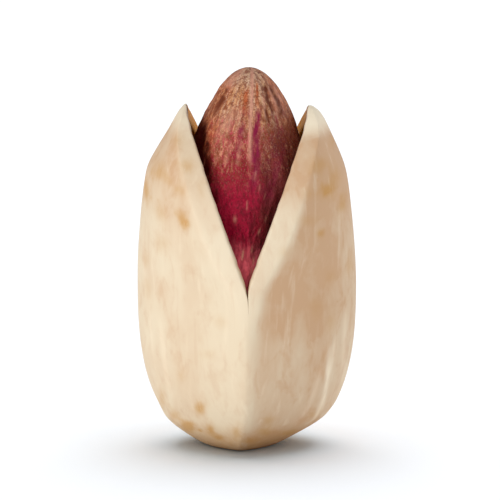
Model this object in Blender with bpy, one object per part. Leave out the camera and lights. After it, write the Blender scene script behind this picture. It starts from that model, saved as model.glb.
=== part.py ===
"""A pistachio in its split shell, standing on its stem end with the kernel showing.

Metres, +Z up. The wider split faces -Y, the two valves lie towards -X and +X, and the origin is the
middle of the small flat spot that the nut stands on.
"""
import math
from collections import namedtuple

import bmesh
import bpy
from mathutils import Vector

# Shell, measured over the outside
WIDEST_HEIGHT = 0.0096
HALF_WIDTH = 0.00629
HALF_DEPTH = 0.00610
TIP_POWER = 2.1

# Lips beside the keels: their width below the split and beside its upper part, the heights between which
# they widen, the sine of the angle from the keel at which they end, and the most of the valve's width
# that they take, low down and at the tips
KEEL_LIP = 0.00010
SPLIT_LIP = 0.00095
LIP_START = 0.0070
LIP_FULL = 0.0135
LIP_REACH = 0.20
LIP_SHARE = 0.35
TIP_LIP_SHARE = 0.60
TIP_LIP_START = 0.0170
TIP_LIP_FULL = 0.0193

# Keels: how round they are at the widest place, and how much rounder at the tips and the stem end
KEEL_ROUND = 0.20
TIP_ROUND = 1.1
STEM_ROUND = 0.5
STEM_ROUND_START = 0.6

# Stem end: how much of its round is cut off flat, and how it tapers and leans to the left above that
STEM_CUT = 0.00025
STEM_POWER = 2.70
STEM_TAPER = 0.16
TAPER_HEIGHT = 0.0018
STEM_LEAN = 0.00038
LEAN_HEIGHT = 0.0026

# Shell wall: thickness at the side, at the keel, at the tips and at the stem end
SIDE_WALL = 0.0009
KEEL_WALL = 0.00095
TIP_WALL = 0.0010
STEM_WALL = 0.0015

# Split between the valves: where it starts at the front and the back, and how softly
FRONT_SPLIT_START = 0.0100
BACK_SPLIT_START = 0.0110
SPLIT_SOFTNESS = 0.00025
CRACK_LENGTH = 0.0010

# Upper outline of each valve: the tip's half gap and height, the body's fall and its power, the edge's
# slope, and the width and height of its blunt end
Outline = namedtuple("Outline", "tip_half_gap height body_fall body_power edge_slope blunt blunt_height")
LEFT = Outline(0.00350, 0.01992, 0.00120, 2.0, 0.605, 0.00018, 0.0006)
RIGHT = Outline(0.00355, 0.01982, 0.00110, 1.55, 0.45, 0.00062, 0.0010)
CORNER = 0.00012

# Low lengthwise waves in the shell's surface
SHELL_WAVE = 0.00004
SHELL_WAVES = 9
WAVE_TWIST = 2.0

# Kernel: an egg that is lens-shaped in section low down, swells forward in the split's opening, and is
# round at the tip, which leans to the right
KERNEL_TOP = 0.0222
KERNEL_WIDEST = 0.0106
KERNEL_BOTTOM = 0.00185
KERNEL_HALF_WIDTH = 0.0047
KERNEL_HALF_DEPTH = 0.0047
KERNEL_FLATNESS = 0.60
FLATNESS_START = 0.0120
FLATNESS_END = 0.0165
FRONT_SWELL = 0.22
SWELL_START = 0.0115
SWELL_FULL = 0.0160
KERNEL_TIP_POWER = 1.24
KERNEL_STEM_POWER = 2.2
KERNEL_LEAN = 0.00012
LEAN_START = 0.0180
LEAN_FULL = 0.0215

# Relief of the kernel's skin: a front rib between two creases on its upper half, and swaying folds
RIB_HEIGHT = 0.00016
RIB_HALF_WIDTH = 0.00040
CREASE_DEPTH = 0.00015
CREASE_OFFSET = 0.0014
CREASE_HALF_WIDTH = 0.00035
FRONT_REACH = 0.5
UPPER_REACH = 0.5
FOLD_DEPTH = 0.00010
FOLD_COUNT = 10
FOLD_SWAY = 3.0
FOLD_SWAY_HEIGHT = 0.003

# Mesh density
SHELL_SEGMENTS = 64
SHELL_RINGS = 26
SHELL_ROW_SPACING = 1.5
KERNEL_SEGMENTS = 60
KERNEL_RINGS = 34
KERNEL_ROW_SPACING = 1.25
SHARP_ANGLE = math.radians(40.0)
ON_SEAM = 1e-6

SHELL_COLOUR = (0.80, 0.66, 0.47, 1.0)
KERNEL_COLOUR = (0.30, 0.07, 0.07, 1.0)


def bell(value, spread):
    """A smooth bump: 1 where the value is 0, falling to nothing some two spreads away."""
    return math.exp(-(value / spread) ** 2)


def smooth_step(value):
    """0 below 0, 1 above 1, and a smooth rise between."""
    value = min(max(value, 0.0), 1.0)
    return value * value * (3.0 - 2.0 * value)


def outline_of(side):
    """The upper outline of the left valve, side -1, or of the right one."""
    return LEFT if side < 0 else RIGHT


def half_gap_along(height, start, outline):
    """Half the gap of a split that starts at one height and widens evenly up to the tips."""
    def ramp(at):
        return math.log1p(math.exp((at - start) / SPLIT_SOFTNESS))

    end = ramp(start - CRACK_LENGTH)
    return outline.tip_half_gap * max(ramp(height) - end, 0.0) / (ramp(outline.height) - end)


def half_gap(height, around, outline):
    """How far a valve stands out from the middle plane, from the front split round to the back one."""
    to_back = (1.0 - math.cos(around)) / 2.0
    front = half_gap_along(height, FRONT_SPLIT_START, outline)
    back = half_gap_along(height, BACK_SPLIT_START, outline)
    return front * (1.0 - to_back) + back * to_back


def open_half_width(rise, height, outline):
    """Half-width of the opened shell above its widest place: the body's, or the sloping edge's if smaller.

    The rise runs from 0 at the widest place to 1 at the tip. A soft minimum rounds the corner between
    the body and the edge, and a quarter of an ellipse makes the tip blunt.
    """
    body = HALF_WIDTH - outline.body_fall * rise ** outline.body_power
    below_tip = outline.height - height
    part = min(max(below_tip / outline.blunt_height, 0.0), 1.0)
    blunt_end = outline.blunt * math.sqrt(1.0 - (1.0 - part) ** 2)
    edge = outline.tip_half_gap + outline.edge_slope * below_tip + blunt_end
    less = min(body, edge)
    return less - CORNER * math.log1p(math.exp(-abs(body - edge) / CORNER))


def shell_ring(latitude, side):
    """Height, half-width, half-depth and rise of the closed shell's outer surface on one ring.

    The latitude runs from -1 at the stem end through 0 at the widest place to 1 at the tips.
    """
    if latitude < 0.0:
        turn = -latitude * math.pi / 2.0
        drop = math.sin(turn) ** (2.0 / STEM_POWER)
        round_in = max(math.cos(turn), 0.0) ** (2.0 / STEM_POWER)
        height = WIDEST_HEIGHT - (WIDEST_HEIGHT + STEM_CUT) * drop
        tapered = 1.0 - STEM_TAPER * smooth_step(1.0 - height / TAPER_HEIGHT)
        return height, HALF_WIDTH * round_in * tapered, HALF_DEPTH * round_in, 0.0
    outline = outline_of(side)
    rise = 1.0 - (1.0 - latitude) ** SHELL_ROW_SPACING
    height = WIDEST_HEIGHT + (outline.height - WIDEST_HEIGHT) * rise
    closed = open_half_width(rise, height, outline) - half_gap(height, math.pi / 2.0, outline)
    return height, max(closed, 0.0), HALF_DEPTH * (1.0 - rise ** TIP_POWER) ** (1.0 / TIP_POWER), rise


def section(around, latitude, rise):
    """Cross-section of one valve as fractions of its half-width and half-depth.

    The angle runs from 0 at the front keel to pi at the back keel. A small roundness gives a sharp keel
    between fairly flat faces, and a large one an ellipse.
    """
    sine = math.sin(around)
    roundness = KEEL_ROUND + TIP_ROUND * rise
    roundness += STEM_ROUND * smooth_step((-latitude - STEM_ROUND_START) / (1.0 - STEM_ROUND_START))
    across = math.sqrt(sine ** 4 + (roundness * sine) ** 2) / math.sqrt(1.0 + roundness ** 2)
    return across, -math.cos(around)


def lean(height):
    """How far the stem end stands off to the left."""
    return STEM_LEAN * smooth_step(1.0 - height / LEAN_HEIGHT)


def widened(half_width, across, around, height):
    """Distance of the closed valve from the keels' plane: a lip first, and the rest of the width beyond."""
    lip = KEEL_LIP + (SPLIT_LIP - KEEL_LIP) * smooth_step((height - LIP_START) / (LIP_FULL - LIP_START))
    to_tip = smooth_step((height - TIP_LIP_START) / (TIP_LIP_FULL - TIP_LIP_START))
    share = LIP_SHARE + (TIP_LIP_SHARE - LIP_SHARE) * to_tip
    lip = min(lip, share * half_width) * smooth_step(height / TAPER_HEIGHT)
    return (half_width - lip) * across + lip * smooth_step(math.sin(around) / LIP_REACH)


def outer_point(latitude, around, side):
    """A point of the shell's outside, with low lengthwise waves that die out at the ends and the keels."""
    height, half_width, half_depth, rise = shell_ring(latitude, side)
    across, along = section(around, latitude, rise)
    wave = SHELL_WAVE * math.sin(SHELL_WAVES * around + WAVE_TWIST * latitude) * math.sin(around)
    wave *= 1.0 - latitude * latitude
    gap = half_gap(height, around, outline_of(side))
    x = widened(half_width + wave, across, around, height) + gap
    return Vector((side * x - lean(height), half_depth * along, max(height, 0.0)))


def inner_point(latitude, around, side):
    """The matching point of the shell's inside: the closed outside drawn in by the wall's thickness."""
    height, half_width, half_depth, rise = shell_ring(latitude, side)
    across, along = section(around, latitude, rise)
    if latitude < 0.0:
        reach = WIDEST_HEIGHT + STEM_CUT
        shrink = (WIDEST_HEIGHT - STEM_WALL) / reach
    else:
        reach = outline_of(side).height - WIDEST_HEIGHT
        shrink = (reach - TIP_WALL) / reach
    gap = half_gap(height, around, outline_of(side))
    height = WIDEST_HEIGHT + (height - WIDEST_HEIGHT) * shrink
    x = widened(half_width * (1.0 - SIDE_WALL / HALF_WIDTH), across, around, height) + gap
    return Vector((side * x - lean(height), half_depth * (1.0 - KEEL_WALL / HALF_DEPTH) * along, height))


def on_sphere(point):
    """Latitude from -1 to 1 and angle from the front of a point on the unit sphere."""
    latitude = math.asin(min(max(point.z, -1.0), 1.0)) / (math.pi / 2.0)
    return latitude, math.atan2(abs(point.x), -point.y)


def split_height(edge, front):
    """True for an edge of the seam that lies in the split, at the front or at the back."""
    start = FRONT_SPLIT_START if front else BACK_SPLIT_START
    lowest = min(edge.verts, key=lambda vertex: vertex.co.z)
    height = shell_ring(on_sphere(lowest.co)[0], 1)[0]
    return height > start - 2.0 * CRACK_LENGTH


def seam_edges(mesh):
    """The sphere's edges along which the two valves have come apart."""
    found = []
    for edge in mesh.edges:
        if any(abs(vertex.co.x) > ON_SEAM for vertex in edge.verts):
            continue
        if split_height(edge, sum(vertex.co.y for vertex in edge.verts) < 0.0):
            found.append(edge)
    return found


def side_of(vertex):
    """-1 on the left valve, 1 on the right one, 0 where the two are joined."""
    sides = {1 if face.calc_center_median().x > 0.0 else -1 for face in vertex.link_faces}
    return sides.pop() if len(sides) == 1 else 0


def make_shell():
    """The shell: two boat-shaped valves, still one piece below the splits."""
    mesh = bmesh.new()
    bmesh.ops.create_uvsphere(mesh, u_segments=SHELL_SEGMENTS, v_segments=SHELL_RINGS, radius=1.0)
    bmesh.ops.split_edges(mesh, edges=seam_edges(mesh))
    place = mesh.verts.layers.float_vector.new("place")
    for vertex in mesh.verts:
        latitude, around = on_sphere(vertex.co)
        vertex[place] = (latitude, around, side_of(vertex))
    outside = mesh.verts[:]
    walls = bmesh.ops.extrude_face_region(mesh, geom=mesh.faces[:], use_keep_orig=True)
    inside = [item for item in walls["geom"] if isinstance(item, bmesh.types.BMVert)]
    for vertex in outside:
        vertex.co = outer_point(*vertex[place])
    for vertex in inside:
        vertex.co = inner_point(*vertex[place])
    bmesh.ops.recalc_face_normals(mesh, faces=mesh.faces[:])
    return finish_mesh(mesh, "shell")


def kernel_ring(latitude):
    """Height and size, as a fraction of the widest place, of one ring of the kernel."""
    if latitude < 0.0:
        turn = -latitude * math.pi / 2.0
        drop = math.sin(turn) ** (2.0 / KERNEL_STEM_POWER)
        height = KERNEL_WIDEST - (KERNEL_WIDEST - KERNEL_BOTTOM) * drop
        return height, max(math.cos(turn), 0.0) ** (2.0 / KERNEL_STEM_POWER)
    rise = 1.0 - (1.0 - latitude) ** KERNEL_ROW_SPACING
    height = KERNEL_WIDEST + (KERNEL_TOP - KERNEL_WIDEST) * rise
    return height, math.sqrt(max(1.0 - rise ** KERNEL_TIP_POWER, 0.0))


def kernel_relief(x, height, angle):
    """How far the kernel's skin stands out: a front rib between two creases, and lengthwise folds."""
    front = smooth_step(-math.sin(angle) / FRONT_REACH)
    upper = smooth_step((height - KERNEL_WIDEST) / (KERNEL_TOP - KERNEL_WIDEST) / UPPER_REACH)
    rib = RIB_HEIGHT * bell(x, RIB_HALF_WIDTH)
    crease = CREASE_DEPTH * bell(abs(x) - CREASE_OFFSET, CREASE_HALF_WIDTH)
    folds = FOLD_DEPTH * math.sin(FOLD_COUNT * angle + FOLD_SWAY * math.sin(height / FOLD_SWAY_HEIGHT))
    return front * upper * (rib - crease) + folds


def kernel_point(direction):
    """A point of the kernel in the direction of a point on the unit sphere."""
    height, size = kernel_ring(on_sphere(direction)[0])
    angle = math.atan2(direction.y, direction.x)
    flatness = KERNEL_FLATNESS * smooth_step((FLATNESS_END - height) / (FLATNESS_END - FLATNESS_START))
    across = math.cos(angle) * (1.0 - flatness + flatness * abs(math.cos(angle)))
    x = KERNEL_HALF_WIDTH * size * across
    y = KERNEL_HALF_DEPTH * size * math.sin(angle)
    if y < 0.0:
        y *= 1.0 + FRONT_SWELL * smooth_step((height - SWELL_START) / (SWELL_FULL - SWELL_START))
    out = kernel_relief(x, height, angle) * size
    leaning = KERNEL_LEAN * smooth_step((height - LEAN_START) / (LEAN_FULL - LEAN_START))
    return Vector((x + leaning + out * math.cos(angle), y + out * math.sin(angle), height))


def make_kernel():
    """The kernel in its thin skin: a long egg with a blunt tip, a rib, creases and folds."""
    mesh = bmesh.new()
    bmesh.ops.create_uvsphere(mesh, u_segments=KERNEL_SEGMENTS, v_segments=KERNEL_RINGS, radius=1.0)
    for vertex in mesh.verts:
        vertex.co = kernel_point(vertex.co)
    return finish_mesh(mesh, "kernel")


def finish_mesh(mesh, name):
    """Turn the working mesh into a smooth-shaded object of this name."""
    data = bpy.data.meshes.new(name)
    mesh.to_mesh(data)
    mesh.free()
    data.shade_smooth()
    data.set_sharp_from_angle(angle=SHARP_ANGLE)
    return bpy.data.objects.new(name, data)


def make_material(name, colour, roughness):
    """A plain surface of one colour."""
    material = bpy.data.materials.new(name)
    material.use_nodes = True
    surface = material.node_tree.nodes["Principled BSDF"]
    surface.inputs["Base Color"].default_value = colour
    surface.inputs["Roughness"].default_value = roughness
    surface.inputs["Metallic"].default_value = 0.0
    return material


def main():
    """Clear the scene and build the nut."""
    for thing in list(bpy.data.objects):
        bpy.data.objects.remove(thing)
    nut = bpy.data.collections.new("pistachio_in_shell")
    bpy.context.scene.collection.children.link(nut)
    shell = make_shell()
    shell.data.materials.append(make_material("shell", SHELL_COLOUR, 0.55))
    nut.objects.link(shell)
    kernel = make_kernel()
    kernel.data.materials.append(make_material("kernel_skin", KERNEL_COLOUR, 0.60))
    nut.objects.link(kernel)


if __name__ == "__main__":
    main()
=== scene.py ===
"""A pistachio in its split shell: fine surfaces, finishes, studio and camera.

Metres, +Z up, front towards -Y. The nut stands on its stem end at the origin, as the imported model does.
"""
import logging
import math
from dataclasses import dataclass, field
from enum import Enum
from typing import Sequence

import bmesh
import bpy
import numpy as np
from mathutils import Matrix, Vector


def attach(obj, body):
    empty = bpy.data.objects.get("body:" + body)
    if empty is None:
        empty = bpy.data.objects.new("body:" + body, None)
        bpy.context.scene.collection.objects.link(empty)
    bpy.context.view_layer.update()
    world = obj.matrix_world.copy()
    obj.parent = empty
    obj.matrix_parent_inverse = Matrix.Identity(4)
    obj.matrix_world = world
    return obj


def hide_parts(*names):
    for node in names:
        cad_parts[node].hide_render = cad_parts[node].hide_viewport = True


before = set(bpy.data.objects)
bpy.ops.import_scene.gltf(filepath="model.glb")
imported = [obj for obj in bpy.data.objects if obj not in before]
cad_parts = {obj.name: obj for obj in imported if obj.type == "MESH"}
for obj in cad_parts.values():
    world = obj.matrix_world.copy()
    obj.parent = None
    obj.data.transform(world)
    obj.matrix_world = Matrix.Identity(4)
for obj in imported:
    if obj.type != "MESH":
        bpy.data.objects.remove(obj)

LOG = logging.getLogger("pistachio")
MM = 0.001
BODY = "root"
MERGE_DISTANCE = 2e-7
NOISE_CELLS = 64
PHOTO_PIXELS = 500
SENSOR_MM = 36.0
PIXEL = 0.0579 * MM

Array = np.ndarray
Piece = bpy.types.Object
Socket = bpy.types.NodeSocket
Colour = tuple[float, float, float, float]


class Valve(Enum):
    """The two halves of the shell, by the sign of X on which they lie."""

    LEFT = -1
    RIGHT = 1


def bell(value: Array, spread: float) -> Array:
    """exp of minus the square of value over spread: 1 at 0 and nothing some two spreads away."""
    return np.exp(-(value / spread) ** 2)


def smooth_step(value: Array, low: float, high: float) -> Array:
    """Rise from 0 at low to 1 at high along the cubic 3t^2 - 2t^3.

    Args:
        value: numbers to be mapped.
        low: where the rise starts.
        high: where it ends; it may be below low, for a fall.

    Returns:
        The risen values, between 0 and 1.
    """
    part = np.clip((value - low) / (high - low), 0.0, 1.0)
    return part * part * (3.0 - 2.0 * part)


def lattice_noise(points: Array, seed: int) -> Array:
    """Value noise: random numbers on a cubic lattice, blended between its corners along 3t^2 - 2t^3.

    Args:
        points: array of shape (..., 3), in lattice cells.
        seed: chooses the random numbers.

    Returns:
        Noise between -1 and 1, of shape (...).
    """
    table = np.random.default_rng(seed).uniform(-1.0, 1.0, (NOISE_CELLS,) * 3)
    base = np.floor(points).astype(int)
    part = points - base
    part = part * part * (3.0 - 2.0 * part)
    total = np.zeros(points.shape[:-1])
    for corner in np.ndindex(2, 2, 2):
        cell = (base + corner) % NOISE_CELLS
        weight = np.prod(np.where(np.array(corner) == 1, part, 1.0 - part), axis=-1)
        total += weight * table[cell[..., 0], cell[..., 1], cell[..., 2]]
    return total


def layered_noise(points: Array, seed: int, layers: int) -> Array:
    """Lattice noise added up over layers, each twice as fine and half as strong as the one before.

    Args:
        points: array of shape (..., 3), in cells of the coarsest layer.
        seed: chooses the random numbers of the first layer; each next layer takes the next seed.
        layers: how many layers are added.

    Returns:
        The sum, mostly between -1 and 1.
    """
    total = np.zeros(points.shape[:-1])
    for layer in range(layers):
        total += lattice_noise(points * 2.0 ** layer, seed + layer) * 0.5 ** (layer + 1)
    return total


def quads_between(rows: Array) -> Array:
    """Quads between each row of point numbers and the next, from one column to its neighbour.

    Args:
        rows: integer array of shape (rows, columns).

    Returns:
        Array of shape (faces, 4).
    """
    corners = (rows[:-1, :-1], rows[:-1, 1:], rows[1:, 1:], rows[1:, :-1])
    return np.stack(corners, axis=-1).reshape(-1, 4)


def mesh_object(name: str, points: Array, faces: list[list[int]],
                values: dict[str, Array]) -> Piece:
    """Make a smooth closed object: doubles merged, unused points dropped, faces turned outward.

    Args:
        name: the object's and the mesh's name.
        points: array of shape (points, 3), in metres.
        faces: corner numbers of each face.
        values: one number a point for each named attribute that a finish reads.

    Returns:
        The object, linked to the scene.
    """
    data = bpy.data.meshes.new(name)
    data.from_pydata(points, [], faces)
    for key, numbers in values.items():
        held = data.attributes.new(key, "FLOAT", "POINT")
        held.data.foreach_set("value", numbers.astype(np.float32).ravel())
    work = bmesh.new()
    work.from_mesh(data)
    bmesh.ops.remove_doubles(work, verts=work.verts[:], dist=MERGE_DISTANCE)
    bmesh.ops.dissolve_degenerate(work, edges=work.edges[:], dist=MERGE_DISTANCE)
    bmesh.ops.delete(work, geom=[point for point in work.verts if not point.link_faces], context="VERTS")
    bmesh.ops.recalc_face_normals(work, faces=work.faces[:])
    open_edges = sum(1 for edge in work.edges if len(edge.link_faces) != 2)
    work.to_mesh(data)
    work.free()
    data.shade_smooth()
    thing = bpy.data.objects.new(name, data)
    bpy.context.scene.collection.objects.link(thing)
    counts = (len(data.vertices), len(data.polygons), open_edges)
    LOG.info("%s: %d points, %d faces, %d open edges", name, *counts)
    return thing


def profile(latitude: Array, power: float, crowding: float) -> tuple[Array, Array, Array]:
    """Fall and narrowing of a superellipse below the widest row, and a rise above it that crowds at the top.

    Args:
        latitude: rows from -1 at the bottom through 0 at the widest place to 1 at the top.
        power: the superellipse's power.
        crowding: how closely the rows stand at the top.

    Returns:
        Fall from 0 to 1, size from 1 to 0, and rise from 0 to 1.
    """
    turn = np.clip(-latitude, 0.0, 1.0) * math.pi / 2.0
    fall = np.sin(turn) ** (2.0 / power)
    size = np.maximum(np.cos(turn), 0.0) ** (2.0 / power)
    return fall, size, 1.0 - (1.0 - np.clip(latitude, 0.0, 1.0)) ** crowding


@dataclass
class Upper:
    """Upper outline of one valve: a slowly narrowing body, cut off by an edge that slopes to a blunt tip."""

    tip_half_gap: float
    height: float
    body_fall: float
    body_power: float
    edge_slope: float
    blunt: float
    blunt_height: float
    corner: float = 0.12 * MM

    def opened(self, rise: Array, height: Array, half_width: float) -> Array:
        """Half-width of the opened shell: the soft minimum of the body's and the edge's.

        The body falls by a power of the rise. The edge adds a slope and a quarter ellipse to the tip's
        place. Their soft minimum is minus the logarithm of the sum of two exponentials.

        Args:
            rise: 0 at the widest place and 1 at the tip.
            height: heights above the floor.
            half_width: the shell's, at the widest place.

        Returns:
            Distances from the middle plane.
        """
        body = half_width - self.body_fall * rise ** self.body_power
        below_tip = self.height - height
        part = np.clip(below_tip / self.blunt_height, 0.0, 1.0)
        edge = self.tip_half_gap + self.edge_slope * below_tip + self.blunt * np.sqrt(1.0 - (1.0 - part) ** 2)
        return -self.corner * np.logaddexp(-body / self.corner, -edge / self.corner)


@dataclass
class SplitForm:
    """The gap between the valves, as half-widths measured from the middle plane."""

    front_start: float = 10.0 * MM
    back_start: float = 11.0 * MM
    softness: float = 0.25 * MM
    crack_length: float = 1.4 * MM
    notch: float = 0.035 * MM
    notch_height: float = 0.35 * MM
    notch_full_gap: float = 0.5 * MM
    notch_reach: float = 0.12
    notch_seed: int = 91

    def along(self, height: Array, start: float, upper: Upper) -> Array:
        """Half gap of one split: a soft corner at its start, then an even slope to the tips.

        The slope is the logarithm of one plus the exponential of the height past the start, over the
        softness, less what that gives at the crack's end, and it is scaled to the half gap at the tips.

        Args:
            height: heights above the floor.
            start: height at which the split starts to widen.
            upper: the valve's upper outline, which has its tip's place.

        Returns:
            Half gaps, 0 below the crack's end.
        """
        def ramp(at: Array) -> Array:
            """Logarithm of one plus the exponential, safe for large numbers."""
            return np.logaddexp(0.0, (at - start) / self.softness)

        end = ramp(np.array(start - self.crack_length))
        return upper.tip_half_gap * np.maximum(ramp(height) - end, 0.0) / (ramp(np.array(upper.height)) - end)

    def half_gap(self, height: Array, around: Array, upper: Upper) -> Array:
        """Half gap at any place on a valve: the front and back gaps mixed by (1 - cos) / 2 of the angle.

        Noise of the height adds small notches along the front rim.

        Args:
            height: heights above the floor.
            around: angles from the front keel, 0, to the back keel, pi.
            upper: the valve's upper outline.

        Returns:
            How far the valve stands out from the middle plane there.
        """
        to_back = (1.0 - np.cos(around)) / 2.0
        front = self.along(height, self.front_start, upper)
        back = self.along(height, self.back_start, upper)
        line = np.stack(np.broadcast_arrays(height / self.notch_height, upper.height / MM, 0.5), axis=-1)
        notches = self.notch * lattice_noise(line, self.notch_seed)
        notches = notches * np.minimum(front / self.notch_full_gap, 1.0) * bell(around, self.notch_reach)
        return front * (1.0 - to_back) + back * to_back + notches


@dataclass
class Stain:
    """A spot on the shell's front or back: its place and size in millimetres, and its strength."""

    x: float
    z: float
    wide: float
    high: float
    strength: float
    front: bool = True


@dataclass
class HighlightStreak:
    """A painted highlight along a fine ridge on the shell's front, from a low place to a high one, in
    millimetres.
    """

    x_low: float
    low: float
    x_high: float
    high: float
    bend: float
    wide: float
    strength: float


@dataclass(frozen=True)
class Rise:
    """A smooth rise between two values, or a fall where the second is the lower one."""

    start: float
    end: float

    def at(self, value: Array) -> Array:
        """How far it has risen at each value, between 0 and 1."""
        return smooth_step(value, self.start, self.end)


@dataclass
class ShellMarks:
    """Where the shell has stains, tan, painted shade and painted highlights: strengths, and the heights
    between which they change.

    Its points and heights are in millimetres. The far side goes by the distance from the middle plane, and
    the start and end of a streak are shares of the streak's own height.
    """

    stains: Sequence[Stain] = ()
    streaks: Sequence[HighlightStreak] = ()
    stem_stain: float = 0.45
    stem_stain_fade: Rise = Rise(2.2, 0.3)
    # painted shade over tan on the right valve's face: less low down and towards the far right edge, where
    # more light reaches
    right_face_shade: float = 0.42
    right_face_shade_added: float = 0.44
    right_face_shade_rise: Rise = Rise(6.0, 9.0)
    right_face_shade_end: Rise = Rise(19.5, 17.5)
    far_right_shade_loss: float = 0.35
    far_side: Rise = Rise(4.6, 6.2)
    upper_tan: float = 0.65
    upper_loss_right: float = 0.10
    upper_rise: Rise = Rise(13.0, 17.0)
    upper_end: Rise = Rise(19.8, 18.6)
    ridge_tan: float = 0.42
    ridge_rise: Rise = Rise(13.5, 16.5)
    ridge_end: Rise = Rise(19.2, 18.0)
    stem_tan: float = 0.45
    stem_tan_fade: Rise = Rise(2.0, 0.3)
    # painted highlights on the tips, most on the right tip, and on the lips beside the split
    tip_highlight: float = 0.35
    right_tip_highlight_added: float = 0.45
    tip_rise: Rise = Rise(18.2, 19.3)
    lip_highlight: float = 0.20
    lip_highlight_loss_right: float = 0.08
    lip_rise: Rise = Rise(7.0, 11.0)
    lip_end: Rise = Rise(17.0, 14.5)
    stain_cell: float = 0.45
    stain_raggedness: float = 1.2
    streak_cell: tuple[float, float, float] = (0.5, 0.5, 1.25)
    streak_raggedness: float = 0.8
    streak_start: Rise = Rise(-0.1, 0.15)
    streak_end: Rise = Rise(1.1, 0.7)

    def stain_map(self, points: Array) -> Array:
        """Strength of the brown spots at each point: the sum of bells with ragged, blurred edges.

        Args:
            points: array of shape (points, 3).

        Returns:
            One strength a point.
        """
        ragged = self.stain_raggedness * layered_noise(points / self.stain_cell, seed=41, layers=3)
        total = np.zeros(points.shape[:-1])
        for stain in self.stains:
            across = (points[..., 0] - stain.x) / stain.wide
            upward = (points[..., 2] - stain.z) / stain.high
            facing = points[..., 1] < 0.0 if stain.front else points[..., 1] > 0.0
            total += stain.strength * np.exp(-(across ** 2 + upward ** 2) * (1.0 + ragged)) * facing
        return total + self.stem_stain * self.stem_stain_fade.at(points[..., 2])

    def tan_map(self, points: Array, beside: Array) -> Array:
        """How much tan and painted shade the shell has: painted shade over tan on the right valve's face,
        which is turned from the key light, and tan near the tips, on the right valve's upper lip and at the
        stem end.

        Args:
            points: array of shape (rows, columns, 3).
            beside: 0 on the lips and 1 on the faces beside them, shape (columns,).

        Returns:
            One number a point.
        """
        x, z = points[..., 0], points[..., 2]
        # painted shade over tan on the right valve's face
        face_shade = (self.right_face_shade + self.right_face_shade_added * self.right_face_shade_rise.at(z)) * (x > 0.0) * beside
        face_shade = face_shade * self.right_face_shade_end.at(z) * (1.0 - self.far_right_shade_loss * self.far_side.at(x))
        upper = (self.upper_tan - self.upper_loss_right * (x > 0.0)) * (0.5 + 0.5 * beside)
        upper = upper * self.upper_rise.at(z) * self.upper_end.at(z)
        ridge = self.ridge_tan * (x > 0.0) * (1.0 - beside) * self.ridge_rise.at(z) * self.ridge_end.at(z)
        return face_shade + upper + ridge + self.stem_tan * self.stem_tan_fade.at(z)

    def highlight_map(self, points: Array, beside: Array) -> Array:
        """Strength of the painted highlights: on the tips, on the lips beside the split, and along long
        curved streaks low down where fine ridges catch the light.

        Each streak is a bell across a line in x that bends with the height, between two heights.

        Args:
            points: array of shape (rows, columns, 3).
            beside: 0 on the lips and 1 on the faces beside them, shape (columns,).

        Returns:
            One number a point.
        """
        x, z = points[..., 0], points[..., 2]
        right = x > 0.0
        # painted highlights on the tips and lips
        total = (self.tip_highlight + self.right_tip_highlight_added * right) * self.tip_rise.at(z)
        lip = (1.0 - beside) * self.lip_rise.at(z) * self.lip_end.at(z)
        total = total + (self.lip_highlight - self.lip_highlight_loss_right * right) * lip
        ragged = 1.0 + self.streak_raggedness * layered_noise(points / self.streak_cell, seed=53, layers=2)
        for streak in self.streaks:
            part = (z - streak.low) / (streak.high - streak.low)
            line = streak.x_low + (streak.x_high - streak.x_low) * np.clip(part, 0.0, 1.0) ** streak.bend
            ends = self.streak_start.at(part) * self.streak_end.at(part) * (points[..., 1] < 0.0)
            total = total + streak.strength * bell(x - line, streak.wide) * ends * ragged
        return np.maximum(total, 0.0)


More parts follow.
